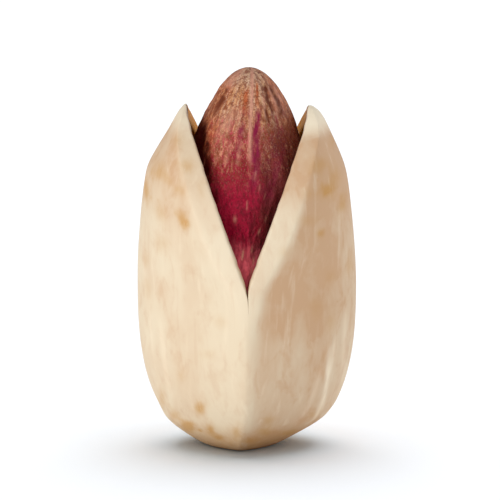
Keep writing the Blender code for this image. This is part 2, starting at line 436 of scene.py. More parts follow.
@dataclass
class Shell:
    """The shell of two valves, one piece below the splits, with its wall, rims and surface relief."""

    widest: float = 9.6 * MM
    half_width: float = 6.29 * MM
    half_depth: float = 6.10 * MM
    stem_cut: float = 0.25 * MM
    stem_taper: float = 0.16
    taper_height: float = 1.8 * MM
    crack_stray: float = 0.12 * MM
    stray_height: float = 8.8 * MM
    stray_length: float = 1.0 * MM
    keel_stray: float = 0.10 * MM
    keel_stray_start: float = 6.5 * MM
    keel_stray_full: float = 1.5 * MM
    stray_reach: float = 0.5
    stem_lean: float = 0.38 * MM
    lean_height: float = 2.6 * MM
    stem_power: float = 2.70
    tip_power: float = 2.1
    keel_lip: float = 0.10 * MM
    split_lip: float = 0.95 * MM
    lip_start: float = 7.0 * MM
    lip_full: float = 13.5 * MM
    lip_reach: float = 0.20
    face_start: float = 0.16
    face_full: float = 0.40
    lip_share: float = 0.35
    tip_lip_share: float = 0.60
    tip_lip_start: float = 17.0 * MM
    tip_lip_full: float = 19.3 * MM
    stem_lip_full: float = 2.0 * MM
    keel_round: float = 0.20
    upper_round: float = 1.1
    stem_round: float = 0.5
    stem_round_start: float = -0.6
    row_crowding: float = 1.5
    side_wall: float = 0.9 * MM
    keel_wall: float = 0.95 * MM
    tip_wall: float = 1.0 * MM
    stem_wall: float = 1.5 * MM
    rim_round: float = 0.10 * MM
    rim_reach: float = 0.12
    rim_fade: float = 0.03
    rim_share: float = 0.3
    floor_softness: float = 0.03 * MM
    wave: float = 0.04 * MM
    waves: int = 9
    wave_drift: float = 2.0
    swell: float = 0.035 * MM
    swell_cell: float = 2.6 * MM
    swell_stretch: tuple[float, float, float] = (1.0, 1.0, 0.6)
    swell_shift: float = 7.0
    line: float = 0.010 * MM
    line_cell: float = 0.42 * MM
    line_stretch: tuple[float, float, float] = (1.0, 1.0, 0.10)
    line_shift: float = 3.0
    least_radius: float = 0.01 * MM
    tip_calm: float = 0.10
    stem_calm: float = 0.2 * MM
    stem_calm_end: float = 2.0 * MM
    rows_below: int = 90
    rows_above: int = 130
    columns_outside: int = 110
    columns_inside: int = 70
    columns_rim: int = 8
    far_rim_power: float = 0.35
    near_rim_power: float = 3.0
    split: SplitForm = field(default_factory=SplitForm)
    uppers: dict[Valve, Upper] = field(default_factory=lambda: {
        Valve.LEFT: Upper(3.50 * MM, 19.92 * MM, 1.20 * MM, 2.0, 0.605, 0.18 * MM, 0.6 * MM),
        Valve.RIGHT: Upper(3.55 * MM, 19.82 * MM, 1.10 * MM, 1.55, 0.45, 0.62 * MM, 1.0 * MM),
    })
    marks: ShellMarks = field(default_factory=ShellMarks)

    def latitudes(self) -> Array:
        """Rows from -1 at the stem end through 0 at the widest place to 1 at the tips.

        Returns:
            Array of shape (rows,).
        """
        below = np.linspace(-1.0, 0.0, self.rows_below, endpoint=False)
        above = np.linspace(0.0, 1.0, self.rows_above)
        return np.concatenate((below, above))

    def ring(self, latitude: Array, valve: Valve) -> tuple[Array, Array, Array, Array]:
        """Closed outline of the outside on each row.

        Below the widest place, height and radius follow a superellipse. Above it, the closed half-width
        is the opened one less half the gap at the side, and the depth follows another superellipse.

        Args:
            latitude: rows from -1 to 1.
            valve: which half.

        Returns:
            Height, half-width, half-depth and rise, 0 below the widest place and 1 at the tip.
        """
        drop, round_in, rise = profile(latitude, self.stem_power, self.row_crowding)
        upper = self.uppers[valve]
        below = -(self.widest + self.stem_cut) * drop
        height = self.widest + np.where(latitude < 0.0, below, (upper.height - self.widest) * rise)
        opened = upper.opened(rise, height, self.half_width)
        closed = opened - self.split.half_gap(height, np.full_like(height, math.pi / 2.0), upper)
        tapered = 1.0 - self.stem_taper * smooth_step(height, self.taper_height, 0.0)
        width = np.where(latitude < 0.0, self.half_width * round_in * tapered, np.maximum(closed, 0.0))
        depth_above = (1.0 - rise ** self.tip_power) ** (1.0 / self.tip_power)
        return height, width, self.half_depth * np.where(latitude < 0.0, round_in, depth_above), rise

    def lean(self, height: Array) -> Array:
        """How far the stem end stands off to the left: all of it at the floor, none at the taper's top."""
        return self.stem_lean * smooth_step(height, self.lean_height, 0.0)

    def wander(self, height: Array, around: Array) -> Array:
        """How far the front keel strays sideways: a bell to the right at the crack, a step to the left below.

        Args:
            height: shape (rows, 1).
            around: angles, shape (1, columns).

        Returns:
            Offsets along X, which fade away from the front keel by a bell of the angle.
        """
        right = self.crack_stray * bell(height - self.stray_height, self.stray_length)
        left = self.keel_stray * smooth_step(height, self.keel_stray_start, self.keel_stray_full)
        left = left * smooth_step(height, 0.0, self.stray_length)
        return (right - left) * bell(around, self.stray_reach)

    def section(self, around: Array, latitude: Array, rise: Array) -> tuple[Array, Array]:
        """Cross-section of a valve, with a keel between fairly flat faces.

        Across, it is the root of the sine's fourth power plus the square of the sine times the keel's
        roundness. A small roundness gives a sharp keel and a large one an ellipse.

        Args:
            around: angles from the front keel, 0, to the back keel, pi.
            latitude: rows from -1 to 1; the keel grows rounder towards the stem end.
            rise: 0 below the widest place and 1 at the tip, where the keel is round.

        Returns:
            Fractions of the half-width and of the half-depth.
        """
        roundness = self.keel_round + self.upper_round * rise
        roundness = roundness + self.stem_round * smooth_step(latitude, self.stem_round_start, -1.0)
        sine = np.sin(around)
        across = np.sqrt(sine ** 4 + (roundness * sine) ** 2) / np.sqrt(1.0 + roundness ** 2)
        return across, -np.cos(around)

    def widened(self, width: Array, across: Array, around: Array, height: Array) -> Array:
        """Width of the closed valve with its lip: near the keels it first runs straight out sideways.

        The lip is a smooth step of the sine, and the rest of the width is scaled down to make room for it.

        Args:
            width: half-widths, shape (rows, 1).
            across: the section's fractions, shape (rows, columns).
            around: angles, shape (1, columns).
            height: heights, shape (rows, 1).

        Returns:
            Distances from the keel's plane, shape (rows, columns).
        """
        wide = smooth_step(height, self.lip_start, self.lip_full)
        lip = self.keel_lip + (self.split_lip - self.keel_lip) * wide
        at_tip = smooth_step(height, self.tip_lip_start, self.tip_lip_full)
        share = self.lip_share + (self.tip_lip_share - self.lip_share) * at_tip
        lip = np.minimum(lip, share * width) * smooth_step(height, 0.0, self.stem_lip_full)
        return (width - lip) * across + lip * smooth_step(np.sin(around), 0.0, self.lip_reach)

    def outside(self, latitude: Array, around: Array, valve: Valve) -> Array:
        """Points of the outside: section times ring, moved out by the gap, with low relief.

        Args:
            latitude: rows, shape (rows, 1).
            around: angles, shape (1, columns).
            valve: which half.

        Returns:
            Array of shape (rows, columns, 3).
        """
        height, width, depth, rise = self.ring(latitude, valve)
        across, along = self.section(around, latitude, rise)
        gap = self.split.half_gap(height, around, self.uppers[valve])
        wave = self.wave * np.sin(self.waves * around + self.wave_drift * latitude) * np.sin(around)
        wave = wave * (1.0 - latitude ** 2)
        at_rims = bell(around, self.rim_reach) + bell(around - math.pi, self.rim_reach)
        edge = np.minimum(self.rim_round, gap / 2.0) * at_rims * smooth_step(1.0 - rise, 0.0, self.rim_fade)
        x = valve.value * (self.widened(width + wave, across, around, height) + gap + edge)
        x = x + self.wander(height, around) - self.lean(height)
        y = depth * along
        z = self.floor_softness * np.logaddexp(0.0, height / self.floor_softness) + 0.0 * y
        points = np.stack(np.broadcast_arrays(x, y, z), axis=-1)
        return points + self.relief(points, around, rise)

    def relief(self, points: Array, around: Array, rise: Array) -> Array:
        """Small uneven swellings and fine lengthwise lines, pushed out from the nut's axis.

        Args:
            points: array of shape (rows, columns, 3).
            around: angles, shape (1, columns).
            rise: shape (rows, 1).

        Returns:
            Offsets of the same shape as the points.
        """
        swells = points / self.swell_cell * self.swell_stretch + self.swell_shift
        swell = layered_noise(swells, seed=11, layers=2)
        lines = points / self.line_cell * self.line_stretch + self.line_shift
        lines = layered_noise(lines, seed=23, layers=2)
        calm = np.sin(around) * smooth_step(1.0 - rise, 0.0, self.tip_calm)
        calm = calm * smooth_step(points[..., 2], self.stem_calm, self.stem_calm_end)
        size = (self.swell * swell + self.line * lines) * calm
        outward = points * (1.0, 1.0, 0.0)
        outward = outward / np.maximum(np.linalg.norm(outward, axis=-1, keepdims=True), self.least_radius)
        return outward * size[..., None]

    def inside(self, latitude: Array, around: Array, valve: Valve) -> Array:
        """Points of the inside: the closed outside drawn in by the wall, then opened with it.

        Args:
            latitude: rows, shape (rows, 1).
            around: angles, shape (1, columns).
            valve: which half.

        Returns:
            Array of shape (rows, columns, 3).
        """
        height, width, depth, rise = self.ring(latitude, valve)
        across, along = self.section(around, latitude, rise)
        low = (self.widest - self.stem_wall) / (self.widest + self.stem_cut)
        high = 1.0 - self.tip_wall / (self.uppers[valve].height - self.widest)
        z = self.widest + (height - self.widest) * np.where(latitude < 0.0, low, high)
        gap = self.split.half_gap(height, around, self.uppers[valve])
        thinned = width * (1.0 - self.side_wall / self.half_width)
        x = valve.value * (self.widened(thinned, across, around, height) + gap)
        x = x + self.wander(height, around) - self.lean(z)
        y = depth * (1.0 - self.keel_wall / self.half_depth) * along
        return np.stack(np.broadcast_arrays(x, y, z), axis=-1)

    def rim(self, outer: Array, inner: Array, valve: Valve) -> Array:
        """Points across the wall's edge: straight from outer to inner, its middle bulging into the gap.

        Args:
            outer: the outside's last column, shape (rows, 3).
            inner: the inside's column that faces it, shape (rows, 3).
            valve: which half.

        Returns:
            Array of shape (rows, columns_rim, 3), without the two end columns.
        """
        part = np.linspace(0.0, 1.0, self.columns_rim + 2)[None, 1:-1, None]
        straight = outer[:, None, :] * (1.0 - part) + inner[:, None, :] * part
        bulge = 1.0 - (2.0 * part - 1.0) ** 4
        room = np.minimum(self.rim_round, np.abs(outer[:, 0]) * self.rim_share)[:, None, None]
        return straight - valve.value * room * bulge * np.array((1.0, 0.0, 0.0))

    def valve_grid(self, valve: Valve) -> tuple[Array, Array]:
        """One valve as a closed band of columns: outside, back rim, inside, front rim.

        Args:
            valve: which half.

        Returns:
            Points of shape (rows, columns, 3), and how far inside each column is, from 0 to 1.
        """
        latitude = self.latitudes()[:, None]
        outer = self.outside(latitude, np.linspace(0.0, math.pi, self.columns_outside)[None, :], valve)
        inner = self.inside(latitude, np.linspace(math.pi, 0.0, self.columns_inside)[None, :], valve)
        back = self.rim(outer[:, -1], inner[:, 0], valve)
        front = self.rim(outer[:, 0], inner[:, -1], valve)[:, ::-1]
        points = np.concatenate((outer, back, inner, front), axis=1)
        across = np.linspace(0.0, 1.0, self.columns_rim + 2)[1:-1]
        far = across ** self.far_rim_power
        near = across[::-1] ** self.near_rim_power
        inward = np.concatenate((np.zeros(self.columns_outside), far, np.ones(self.columns_inside), near))
        return points, inward

    def angles(self) -> Array:
        """Angles from the front keel of a valve's columns: outside, back rim, inside, front rim.

        Returns:
            Array of shape (columns,).
        """
        rim = np.zeros(self.columns_rim)
        there = np.linspace(0.0, math.pi, self.columns_outside)
        return np.concatenate((there, rim + math.pi, np.linspace(math.pi, 0.0, self.columns_inside), rim))

    def faces(self, start: int, shape: tuple[int, int]) -> Array:
        """Quads of one valve, with rims only where the valves are apart.

        Args:
            start: number of the valve's first point.
            shape: rows and columns of its grid.

        Returns:
            Array of shape (faces, 4).
        """
        rows, columns = shape
        numbers = start + np.arange(rows * columns).reshape(rows, columns)
        height = self.ring(self.latitudes(), Valve.LEFT)[0]
        last_out = self.columns_outside - 1
        first_in = self.columns_outside + self.columns_rim
        last_in = first_in + self.columns_inside - 1
        parts = [quads_between(numbers[:, :last_out + 1]), quads_between(numbers[:, first_in:last_in + 1])]
        for columns_used, begin in (
            (np.arange(last_out, first_in + 1), self.split.back_start),
            (np.append(np.arange(last_in, columns), 0), self.split.front_start),
        ):
            end = begin - self.split.crack_length
            apart = height > end
            first = max(int(np.argmax(apart)) - 1, 0)
            parts.append(quads_between(numbers[first:][:, columns_used]))
        return np.concatenate(parts)

    def build(self) -> Piece:
        """Both valves, joined where they meet, as one closed object.

        Returns:
            The shell's object, with the attributes inward, stain, tanned and bright.
        """
        points, inward, tan_and_shade, painted_highlight, faces = [], [], [], [], []
        start = 0
        for valve in Valve:
            grid, depth = self.valve_grid(valve)
            faces.append(self.faces(start, grid.shape[:2]))
            start += grid.shape[0] * grid.shape[1]
            inward.append(np.broadcast_to(depth, grid.shape[:2]).ravel())
            beside = smooth_step(np.sin(self.angles()), self.face_start, self.face_full)
            tan_and_shade.append(self.marks.tan_map(grid / MM, beside).ravel())
            painted_highlight.append(self.marks.highlight_map(grid / MM, beside).ravel())
            points.append(grid.reshape(-1, 3))
        points = np.concatenate(points)
        values = {
            "inward": np.concatenate(inward),
            "stain": self.marks.stain_map(points / MM),
            "painted_highlight": np.concatenate(painted_highlight),
            "tan_and_shade": np.concatenate(tan_and_shade),
        }
        return mesh_object("shell_surface", points, np.concatenate(faces).tolist(), values)


class Mark(Enum):
    """Kinds of marking on the kernel's skin; each is an attribute that its finish reads."""

    # brown creases, darkened further as painted shade in the grooves
    DARK = "dark"
    RUST = "rust"
    PURPLE = "purple"
    # pale flecks of skin, and painted highlights on raised folds
    PALE = "pale"


@dataclass
class Stroke:
    """A marking on the kernel's front: a straight soft stroke in millimetres, with its groove's depth."""

    kind: Mark
    x_low: float
    z_low: float
    x_high: float
    z_high: float
    wide: float
    strength: float
    deep: float = 0.0

    def mark(self, x: Array, z: Array) -> Array:
        """Bell across the stroke, times a bell of the way past its ends.

        Args:
            x: across, in metres.
            z: heights, in metres.

        Returns:
            The mark's strength at each place.
        """
        line = np.array((self.x_high - self.x_low, self.z_high - self.z_low))
        length = float(np.hypot(*line))
        unit = line / length
        right, up = x / MM - self.x_low, z / MM - self.z_low
        along = right * unit[0] + up * unit[1]
        past = np.maximum(np.maximum(-along, along - length), 0.0)
        return bell(right * unit[1] - up * unit[0], self.wide) * bell(past, self.wide * 2.0)


@dataclass
class Kernel:
    """The seed in its thin skin: a long egg with a blunt tip, a front rib, folds and creases."""

    top: float = 22.08 * MM
    widest: float = 10.6 * MM
    bottom: float = 1.85 * MM
    half_width: float = 4.7 * MM
    half_depth: float = 4.7 * MM
    flatness: float = 0.60
    flat_below: float = 12.0 * MM
    round_above: float = 16.5 * MM
    front_swell: float = 0.22
    swell_start: float = 11.5 * MM
    swell_full: float = 16.0 * MM
    tip_power: float = 1.24
    stem_power: float = 2.2
    lean: float = 0.12 * MM
    rib_height: float = 0.10 * MM
    rib_half_width: float = 0.11 * MM
    rib_place: float = 0.18 * MM
    fold_depth: float = 0.07 * MM
    folds: int = 10
    fold_sway: float = 3.0
    fold_length: float = 3.0 * MM
    turn_length: float = 9.0 * MM
    wrinkle: float = 0.20 * MM
    wrinkle_cells: float = 4.5
    wrinkle_shift: float = 5.0
    wrinkle_low: float = 0.5
    crease: float = 0.16 * MM
    crease_cells: tuple[float, float, float] = (9.0, 9.0, 12.0)
    crease_shift: float = 9.0
    crease_low: float = 0.3
    stroke_cell: float = 0.16 * MM
    stroke_raggedness: float = 1.1
    lean_start: float = 18.0 * MM
    lean_full: float = 21.5 * MM
    row_crowding: float = 1.6
    rows: int = 250
    columns: int = 360
    strokes: Sequence[Stroke] = ()

    def ring(self, latitude: Array) -> tuple[Array, Array]:
        """Height of each row and its size as a fraction of the widest place.

        Below the widest place both follow a superellipse. Above it the size is the square root of one
        less a power of the rise.

        Args:
            latitude: rows from -1 to 1.

        Returns:
            Heights and sizes.
        """
        drop, round_in, rise = profile(latitude, self.stem_power, self.row_crowding)
        reach = np.where(latitude < 0.0, (self.bottom - self.widest) * drop, (self.top - self.widest) * rise)
        size = np.where(latitude < 0.0, round_in, np.sqrt(np.maximum(1.0 - rise ** self.tip_power, 0.0)))
        return self.widest + reach, size

    def marks(self, x: Array, z: Array, front: Array) -> tuple[dict[str, Array], Array]:
        """Strength of each kind of marking, and the depth of the grooves under them.

        Args:
            x: across.
            z: heights.
            front: 1 on the front, 0 on the back.

        Returns:
            Strengths by attribute name, and depths in metres.
        """
        cells = np.stack((x, 0.0 * x, z * 0.5), axis=-1) / self.stroke_cell
        ragged = 1.0 + self.stroke_raggedness * layered_noise(cells, seed=81, layers=2)
        strengths = {kind.value: np.zeros_like(x) for kind in Mark}
        depth = np.zeros_like(x)
        for stroke in self.strokes:
            mark = stroke.mark(x, z) * front
            strengths[stroke.kind.value] += stroke.strength * mark * ragged
            depth += stroke.deep * MM * mark
        return strengths, depth

    def build(self) -> Piece:
        """The kernel as a grid of rings between its two ends, pushed out by rib, folds and wrinkles.

        Its front half is deeper by a share that rises with the height.

        Returns:
            The kernel's object, with the attributes round_x, round_y, rib and one for each marking.
        """
        latitude = np.linspace(-1.0, 1.0, self.rows)[:, None]
        angle = np.linspace(-math.pi, math.pi, self.columns, endpoint=False)[None, :]
        height, size = self.ring(latitude)
        flatness = self.flatness * smooth_step(height, self.round_above, self.flat_below)
        across = np.cos(angle) * (1.0 - flatness + flatness * np.abs(np.cos(angle)))
        x = self.half_width * size * across
        swell = self.front_swell * smooth_step(height, self.swell_start, self.swell_full)
        y = self.half_depth * size * np.sin(angle) * (1.0 + swell * (np.sin(angle) < 0.0))
        z = np.broadcast_to(height, x.shape)
        front = smooth_step(-np.sin(angle), 0.0, 0.5) + 0.0 * x
        upper = smooth_step(z, self.widest, (self.widest + self.top) / 2.0)
        rib = bell(x - self.rib_place * upper, self.rib_half_width) * front * upper
        around = np.stack(np.broadcast_arrays(np.cos(angle), np.sin(angle), z / self.turn_length), axis=-1)
        wrinkles = layered_noise(around * self.wrinkle_cells + self.wrinkle_shift, seed=61, layers=3)
        wrinkles = wrinkles * (self.wrinkle_low + (1.0 - self.wrinkle_low) * upper)
        creases = layered_noise(around * self.crease_cells + self.crease_shift, seed=71, layers=3)
        creases = creases * (self.crease_low + (1.0 - self.crease_low) * upper)
        folds = np.sin(self.folds * angle + self.fold_sway * np.sin(z / self.fold_length))
        strengths, depth = self.marks(x, z, front)
        offset = self.rib_height * rib + self.fold_depth * folds
        offset = (offset + self.wrinkle * wrinkles + self.crease * creases - depth) * size
        shift = self.lean * smooth_step(z, self.lean_start, self.lean_full)
        points = np.stack((x + shift + offset * np.cos(angle), y + offset * np.sin(angle), z), axis=-1)
        numbers = np.arange(self.rows * self.columns).reshape(self.rows, self.columns)
        faces = quads_between(np.concatenate((numbers, numbers[:, :1]), axis=1))
        values = {
            "round_x": np.broadcast_to(np.cos(angle), x.shape),
            "round_y": np.broadcast_to(np.sin(angle), x.shape),
            "rib": rib,
        }
        return mesh_object("kernel_surface", points.reshape(-1, 3), faces.tolist(), values | strengths)


def paint(red: int, green: int, blue: int) -> Colour:
    """Linear colour, with full alpha, of a screen colour given in steps of 255.

    Args:
        red: red, 0 to 255.
        green: green, 0 to 255.
        blue: blue, 0 to 255.

    Returns:
        Linear red, green, blue and alpha.
    """
    def linear(step: int) -> float:
        """One channel by the screen's curve."""
        part = step / 255.0
        return part / 12.92 if part <= 0.04045 else ((part + 0.055) / 1.055) ** 2.4

    return linear(red), linear(green), linear(blue), 1.0


@dataclass(frozen=True)
class Pattern:
    """A noise pattern: cells across and along the nut, offset in cells, finer layers, and how far it is bent.

    Cells are counted a metre on Object coordinates. On the skin they are counted a turn's radius across and
    a millimetre along.
    """

    across: float
    along: float
    shift: tuple[float, float, float] = (0.0, 0.0, 0.0)
    detail: float = 3.0
    roughness: float = 0.55
    warp: float = 0.0
    on_skin: bool = False


@dataclass(frozen=True)
class Layer:
    """A colour laid on where its guide goes from low to high, and its share there."""

    guide: Enum
    low: float
    high: float
    share: float
    colour: tuple[float, ...]


class NodeBench:
    """A material's node tree, with short ways of adding and joining its nodes."""

    def __init__(self, name: str, roughness: float, specular: float) -> None:
        """Start a material with a Principled shader.

        Args:
            name: the material's name.
            roughness: the shader's roughness.
            specular: the shader's specular level.
        """
        self.material = bpy.data.materials.new(name)
        self.material.use_nodes = True
        self.tree = self.material.node_tree
        self.inputs = self.tree.nodes["Principled BSDF"].inputs
        self.inputs["Roughness"].default_value = roughness
        self.inputs["Specular IOR Level"].default_value = specular

    def add(self, kind: str, **settings: object) -> bpy.types.Node:
        """Add a node of this kind and set its properties.

        Args:
            kind: the node's type name.
            settings: properties of the node.

        Returns:
            The new node.
        """
        node = self.tree.nodes.new(kind)
        for key, value in settings.items():
            setattr(node, key, value)
        return node

    def join(self, source: object, target: Socket) -> None:
        """Link an output to an input, or set the input to a plain value."""
        if isinstance(source, Socket):
            self.tree.links.new(source, target)
        else:
            target.default_value = source

    def attribute(self, name: str) -> Socket:
        """The number that the mesh holds under this name at each point."""
        return self.add("ShaderNodeAttribute", attribute_name=name).outputs["Fac"]

    def math(self, operation: str, *numbers: object) -> Socket:
        """One sum on two or three numbers.

        Args:
            operation: name of the sum.
            numbers: plain numbers or outputs.

        Returns:
            The result's output.
        """
        node = self.add("ShaderNodeMath", operation=operation)
        for number, socket in zip(numbers, node.inputs):
            self.join(number, socket)
        return node.outputs[0]

    def product(self, first: object, *others: object) -> Socket:
        """The product of several numbers."""
        for other in others:
            first = self.math("MULTIPLY", first, other)
        return first

    def spread(self, number: object, amount: float) -> Socket:
        """A noise about 0 that swings by this amount, made of one between 0 and 1."""
        return self.math("MULTIPLY", self.math("SUBTRACT", number, 0.5), amount)

    def place(self, scale: Sequence[float], shift: Sequence[float] = (0.0, 0.0, 0.0)) -> Socket:
        """Object coordinates in metres, scaled and shifted.

        Args:
            scale: cells a metre along each axis.
            shift: offset in cells.

        Returns:
            The vector's output.
        """
        mapping = self.add("ShaderNodeMapping")
        self.tree.links.new(self.add("ShaderNodeTexCoord").outputs["Object"], mapping.inputs["Vector"])
        mapping.inputs["Scale"].default_value = scale
        mapping.inputs["Location"].default_value = shift
        return mapping.outputs["Vector"]

    def skin(self, pattern: Pattern) -> Socket:
        """Coordinates that follow the kernel's skin: the direction round its axis, and the height.

        Args:
            pattern: its cells across and along, and its offset.

        Returns:
            The vector's output.
        """
        vector = self.add("ShaderNodeCombineXYZ")
        for name, shift, socket in zip(("round_x", "round_y"), pattern.shift, vector.inputs):
            self.join(self.math("MULTIPLY_ADD", self.attribute(name), pattern.across, shift), socket)
        self.join(self.product(self.level(), pattern.along), vector.inputs[2])
        return vector.outputs[0]

    def level(self) -> Socket:
        """Height in millimetres.

        Returns:
            The height's output.
        """
        parts = self.add("ShaderNodeSeparateXYZ")
        self.join(self.place((1.0 / MM,) * 3), parts.inputs[0])
        return parts.outputs["Z"]

    def noise(self, pattern: Pattern) -> Socket:
        """Noise between 0 and 1 in this pattern.

        Args:
            pattern: its cells, offset, layers and bend.

        Returns:
            The noise's output.
        """
        scale = (pattern.across, pattern.across, pattern.along)
        vector = self.skin(pattern) if pattern.on_skin else self.place(scale, pattern.shift)
        node = self.add("ShaderNodeTexNoise")
        values = {"Vector": vector, "Scale": 1.0, "Detail": pattern.detail, "Roughness": pattern.roughness,
                  "Distortion": pattern.warp}
        for name, value in values.items():
            self.join(value, node.inputs[name])
        return node.outputs["Fac"]

    def window(self, value: object, low: float, high: float) -> Socket:
        """Smooth rise from 0 at low to 1 at high.

        Args:
            value: the number to be mapped.
            low: where the rise starts.
            high: where it ends.

        Returns:
            The mapped number's output.
        """
        node = self.add("ShaderNodeMapRange", interpolation_type="SMOOTHSTEP")
        for name, number in {"Value": value, "From Min": low, "From Max": high}.items():
            self.join(number, node.inputs[name])
        return node.outputs["Result"]

    def mix(self, amount: object, first: object, second: object) -> Socket:
        """Blend two colours.

        Args:
            amount: share of the second one.
            first: first colour or output.
            second: second colour or output.

        Returns:
            The colour's output.
        """
        node = self.add("ShaderNodeMix", data_type="RGBA")
        for source, socket in ((amount, 0), (first, 6), (second, 7)):
            self.join(source, node.inputs[socket])
        return node.outputs[2]

    def laid(self, colour: object, layers: Sequence[Layer], guides: dict[Enum, Socket],
             within: object = None) -> Socket:
        """Lay colours over this one, each over those before it.

        Args:
            colour: the colour below.
            layers: what is laid on, in order.
            guides: the output of each guide.
            within: a share that limits every layer.

        Returns:
            The colour's output.
        """
        for layer in layers:
            amount = self.product(self.window(guides[layer.guide], layer.low, layer.high), layer.share)
            amount = amount if within is None else self.product(amount, within)
            colour = self.mix(amount, colour, layer.colour)
        return colour

    def marked(self, colour: object, name: str, mark: tuple[float, ...]) -> Socket:
        """Lay a colour on by the mesh's own attribute.

        Args:
            colour: the colour below.
            name: the attribute's name.
            mark: the colour laid on.

        Returns:
            The colour's output.
        """
        return self.mix(self.math("MINIMUM", self.attribute(name), 1.0), colour, mark)

    def bump(self, height: object, distance: float, strength: float, before: object = None) -> Socket:
        """Shade the surface as if it had this height.

        Args:
            height: the height's output, between 0 and 1.
            distance: the height of 1, in millimetres.
            strength: how much of it is shaded.
            before: normal of an earlier bump.

        Returns:
            The normal's output.
        """
        node = self.add("ShaderNodeBump")
        node.inputs["Distance"].default_value = distance * MM
        node.inputs["Strength"].default_value = strength
        self.join(height, node.inputs["Height"])
        if before is not None:
            self.join(before, node.inputs["Normal"])
        return node.outputs["Normal"]


@dataclass(frozen=True)
class ShellFinish:
    """Dry cream shell with tan mottling, fine lengthwise lines, brown specks and a golden inside, with
    painted shade on the right valve and painted highlights.
    """

    cream: Colour = paint(222, 206, 180)
    tan: Colour = paint(202, 166, 132)
    pale: Colour = paint(236, 222, 198)
    brown: Colour = paint(194, 146, 82)
    painted_highlight: Colour = paint(250, 238, 214)
    golden: Colour = paint(224, 148, 0)
    roughness: float = 0.58
    specular: float = 0.15
    patches: Pattern = Pattern(420.0, 260.0, warp=0.3)
    blots: Pattern = Pattern(1100.0, 620.0, (7.0, 2.0, 4.0), roughness=0.6, warp=0.4)
    lines: Pattern = Pattern(1900.0, 130.0, (3.0, 1.0, 5.0), warp=0.2)
    grain: Pattern = Pattern(6200.0, 2400.0, roughness=0.65)
    patch_window: tuple[float, float] = (0.38, 0.70)
    patch_share: float = 0.30
    blot_window: tuple[float, float] = (0.48, 0.72)
    blot_share: float = 0.28
    least_tanned: float = 0.45
    tan_unevenness: float = 1.1
    pale_line_window: tuple[float, float] = (0.56, 0.76)
    pale_line_share: float = 0.30
    tan_line_window: tuple[float, float] = (0.44, 0.28)
    tan_line_share: float = 0.20
    stain_window: tuple[float, float] = (0.05, 0.50)
    most_brown: float = 0.8
    inside_window: tuple[float, float] = (0.15, 0.50)
    line_height: float = 0.02
    grain_height: float = 0.006
    bump_strength: float = 0.5

    def make(self) -> bpy.types.Material:
        """Build the material.

        Returns:
            The shell's material.
        """
        bench = NodeBench("shell_finish", self.roughness, self.specular)
        blots, lines, grain = bench.noise(self.blots), bench.noise(self.lines), bench.noise(self.grain)
        mottle = bench.product(bench.window(bench.noise(self.patches), *self.patch_window), self.patch_share)
        mottle = bench.math("MULTIPLY_ADD", bench.window(blots, *self.blot_window), self.blot_share, mottle)
        uneven = bench.math("MULTIPLY_ADD", blots, self.tan_unevenness, self.least_tanned)
        # the mesh's tan, with painted shade on the right valve's face
        mottle = bench.math("MULTIPLY_ADD", bench.attribute("tan_and_shade"), uneven, mottle)
        colour = bench.mix(bench.math("MINIMUM", mottle, 1.0), self.cream, self.tan)
        pale_lines = bench.product(bench.window(lines, *self.pale_line_window), self.pale_line_share)
        tan_lines = bench.product(bench.window(lines, *self.tan_line_window), self.tan_line_share)
        colour = bench.mix(tan_lines, bench.mix(pale_lines, colour, self.pale), self.tan)
        stain = bench.product(bench.attribute("stain"), bench.window(grain, *self.stain_window))
        colour = bench.mix(bench.math("MINIMUM", stain, self.most_brown), colour, self.brown)
        # painted highlights on the tips, the lips and fine ridges
        colour = bench.marked(colour, "painted_highlight", self.painted_highlight)
        inside = bench.window(bench.attribute("inward"), *self.inside_window)
        colour = bench.mix(inside, colour, self.golden)
        bench.join(colour, bench.inputs["Base Color"])
        normal = bench.bump(lines, self.line_height, self.bump_strength)
        normal = bench.bump(grain, self.grain_height, self.bump_strength, normal)
        bench.join(normal, bench.inputs["Normal"])
        return bench.material


class Tint(Enum):
    """Colours of the kernel's skin."""

    TAN = paint(222, 166, 118)
    ASHEN = paint(232, 204, 180)
    RUST = paint(186, 88, 46)
    UMBER = paint(130, 62, 34)
    DARK = paint(108, 48, 24)
    FLESH = paint(206, 128, 106)
    MAGENTA = paint(178, 44, 70)
    PURPLE = paint(134, 22, 60)
    CRIMSON = paint(148, 0, 42)
    MAROON = paint(92, 8, 24)
    # painted shadow that the left valve casts on the kernel, not a colour of the skin
    SHADE = paint(62, 0, 0)
    # browner tone of the kernel's right side, which also stands in for painted shade there
    RUSSET_AND_SHADE = paint(100, 42, 38)
    PALE = paint(212, 150, 128)
    # the skin's pink, made paler as painted light where the kernel lies deep in the gap
    PINK = paint(250, 112, 128)


class Guide(Enum):
    """What a colour on the kernel follows: a noise pattern, or a number that is worked out."""

    PATCHES = Pattern(4.0, 0.6, warp=0.5, on_skin=True)
    BLOTS = Pattern(11.0, 1.5, (2.0, 2.0, 0.0), 2.0, 0.6, 0.3, True)
    VEINS = Pattern(16.0, 0.6, (3.0, 3.0, 0.0), 4.0, 0.65, 0.6, True)
    FLECKS = Pattern(24.0, 4.5, (6.0, 6.0, 0.0), 2.0, 0.6, 0.3, True)
    GRAIN = Pattern(50.0, 14.0, (9.0, 9.0, 0.0), 2.0, 0.7, 0.0, True)
    FIBRES = Pattern(50.0, 1.8, (0.0, 0.0, 0.0), 2.0, 0.65, 0.3, True)
    CRUMBS = Pattern(7000.0, 4500.0, roughness=0.65)
    PORES = Pattern(15000.0, 11000.0, (4.0, 6.0, 2.0), 1.0, 0.6)
    SPECKLE = Pattern(3400.0, 2300.0, (5.0, 3.0, 8.0), 4.0, 0.7, 0.4)
    LEVEL = "height in millimetres"
    ROUGH_LEVEL = "height, made uneven by blots"
    SIDES = "distance from the middle plane, made uneven by blots, high up"


def tinted(guide: Guide, low: float, high: float, share: float, tint: Tint) -> Layer:
    """A layer in one of the kernel's colours."""
    return Layer(guide, low, high, share, tint.value)


